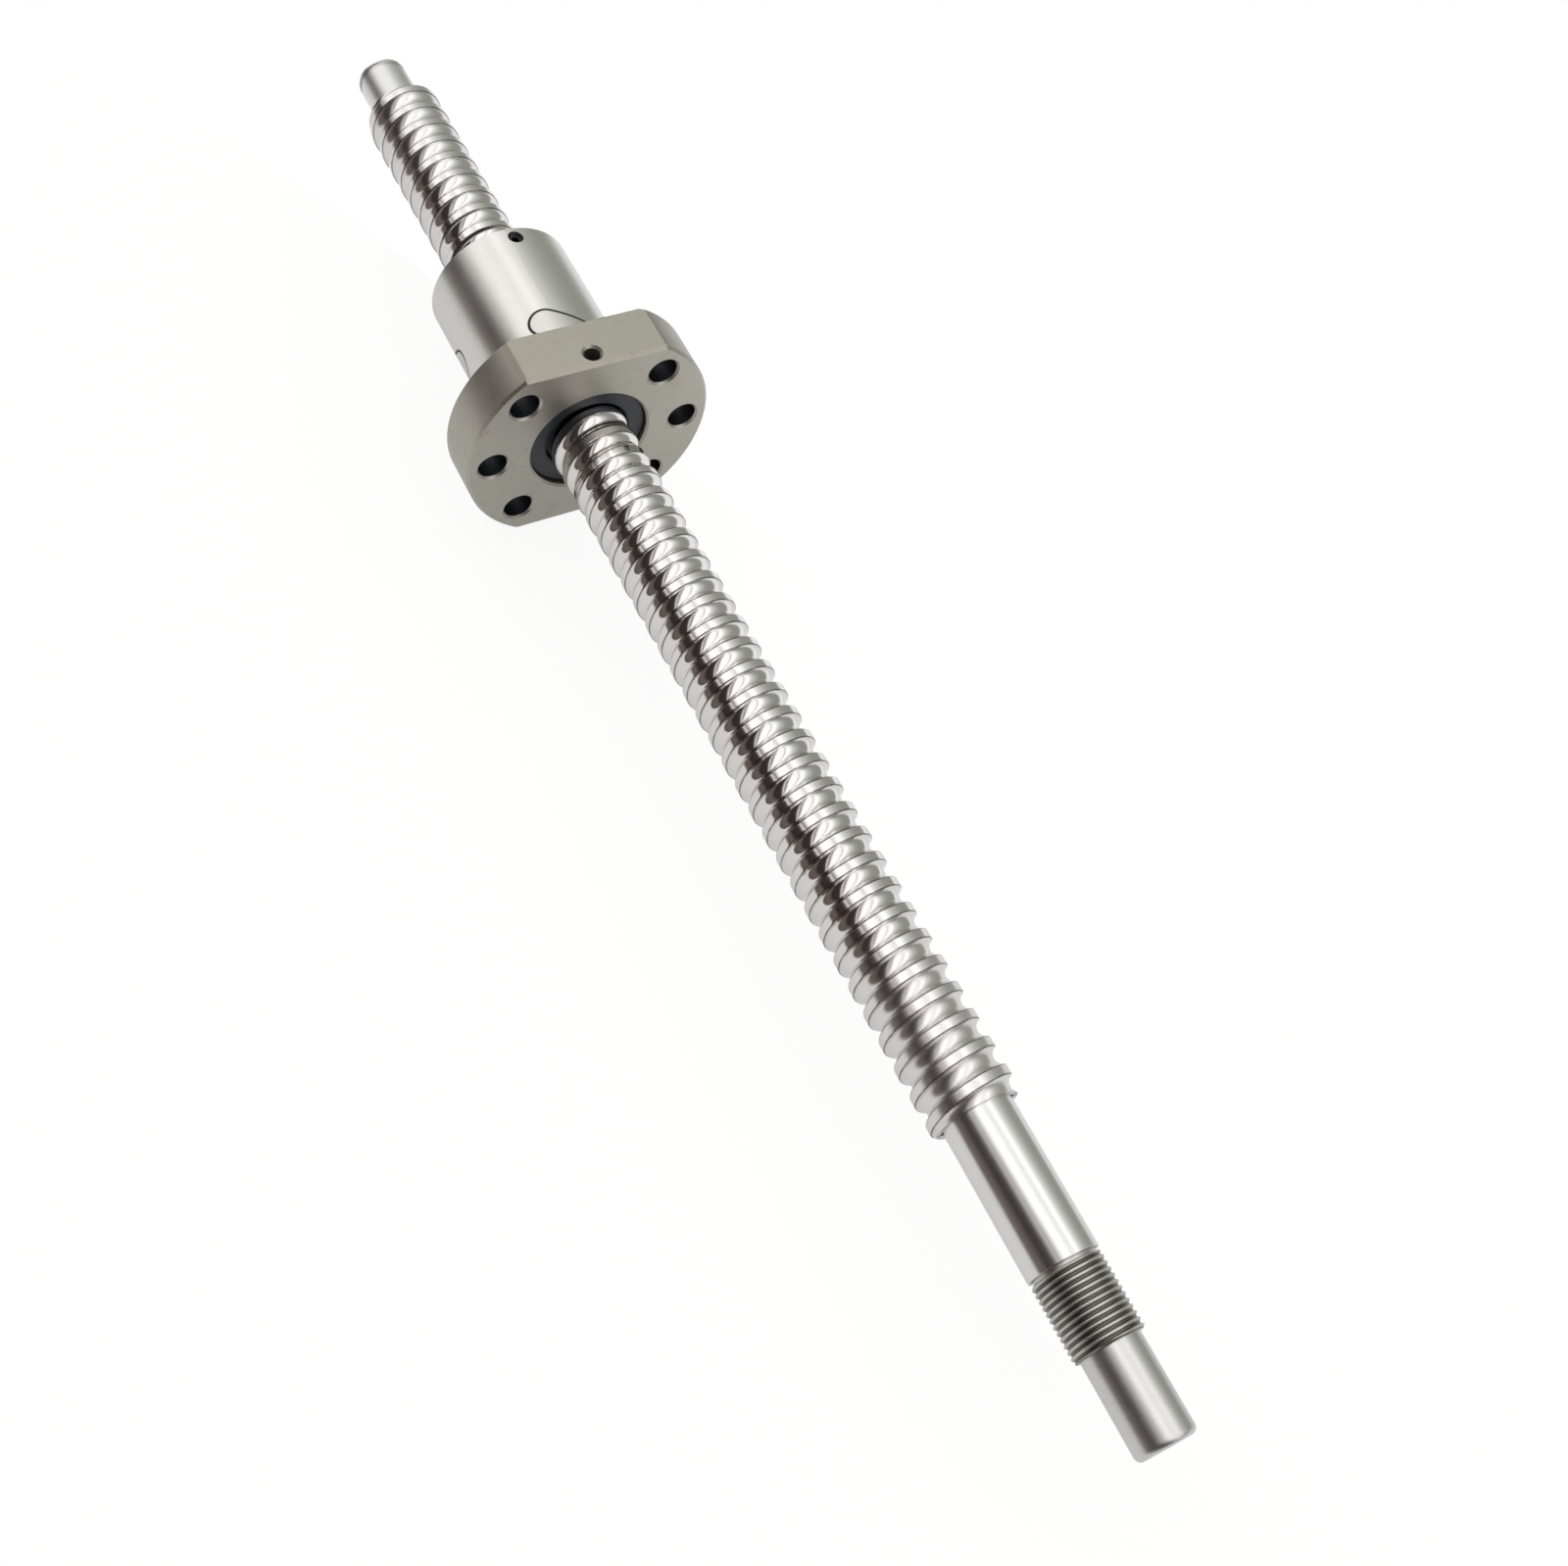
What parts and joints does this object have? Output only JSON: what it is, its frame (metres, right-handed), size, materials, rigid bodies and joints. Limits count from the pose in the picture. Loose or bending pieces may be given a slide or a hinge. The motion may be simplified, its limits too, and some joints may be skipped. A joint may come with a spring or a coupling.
{
  "type": "ball screw assembly",
  "caption": "Ground ball screw shaft with stepped, threaded and grooved ends, carrying a flanged ball nut with wiper rings and internal ball returns.",
  "frame": {"origin": "on the screw axis, at the shoulder between the thread and the fixed-end bearing seat", "axes": "+X along the screw axis, out through the fixed end; +Z square to the flats of the nut's flange"},
  "size_m": [0.3, 0.048, 0.04],
  "materials": {
    "screw_steel": "hardened, ground and polished",
    "nut_steel": "ground, satin",
    "deflector_steel": "ground flush with the nut, satin, in a 0.1 mm gap",
    "ball_steel": "polished",
    "wiper_plastic": "moulded, dark blue-black",
    "screw_black": "blackened"
  },
  "bodies": {
    "screw": {"screw_shaft": "screw_steel"},
    "wipers": {"wiper_front": "wiper_plastic", "wiper_rear": "wiper_plastic"},
    "nut": {"nut_body": "nut_steel", "return_deflector_1": "deflector_steel", "return_deflector_2": "deflector_steel", "return_deflector_3": "deflector_steel", "ball_circuit_1": "ball_steel", "ball_circuit_2": "ball_steel", "ball_circuit_3": "ball_steel", "wiper_screw_front": "screw_black", "wiper_screw_rear": "screw_black"}
  },
  "joints": [
    {"name": "nut_travel", "type": "slide", "parent": "screw", "child": "wipers", "axis": [1, 0, 0], "range_m": [-0.05, 0.142]},
    {"name": "nut_turn", "type": "hinge", "parent": "wipers", "child": "nut", "pos_m": [0, 0, 0], "axis": [1, 0, 0], "range_deg": [-3600, 10224]}
  ],
  "couplings": [
    {"joint": "nut_turn", "follows": "nut_travel", "rad_per_m": 1256.6}
  ]
}
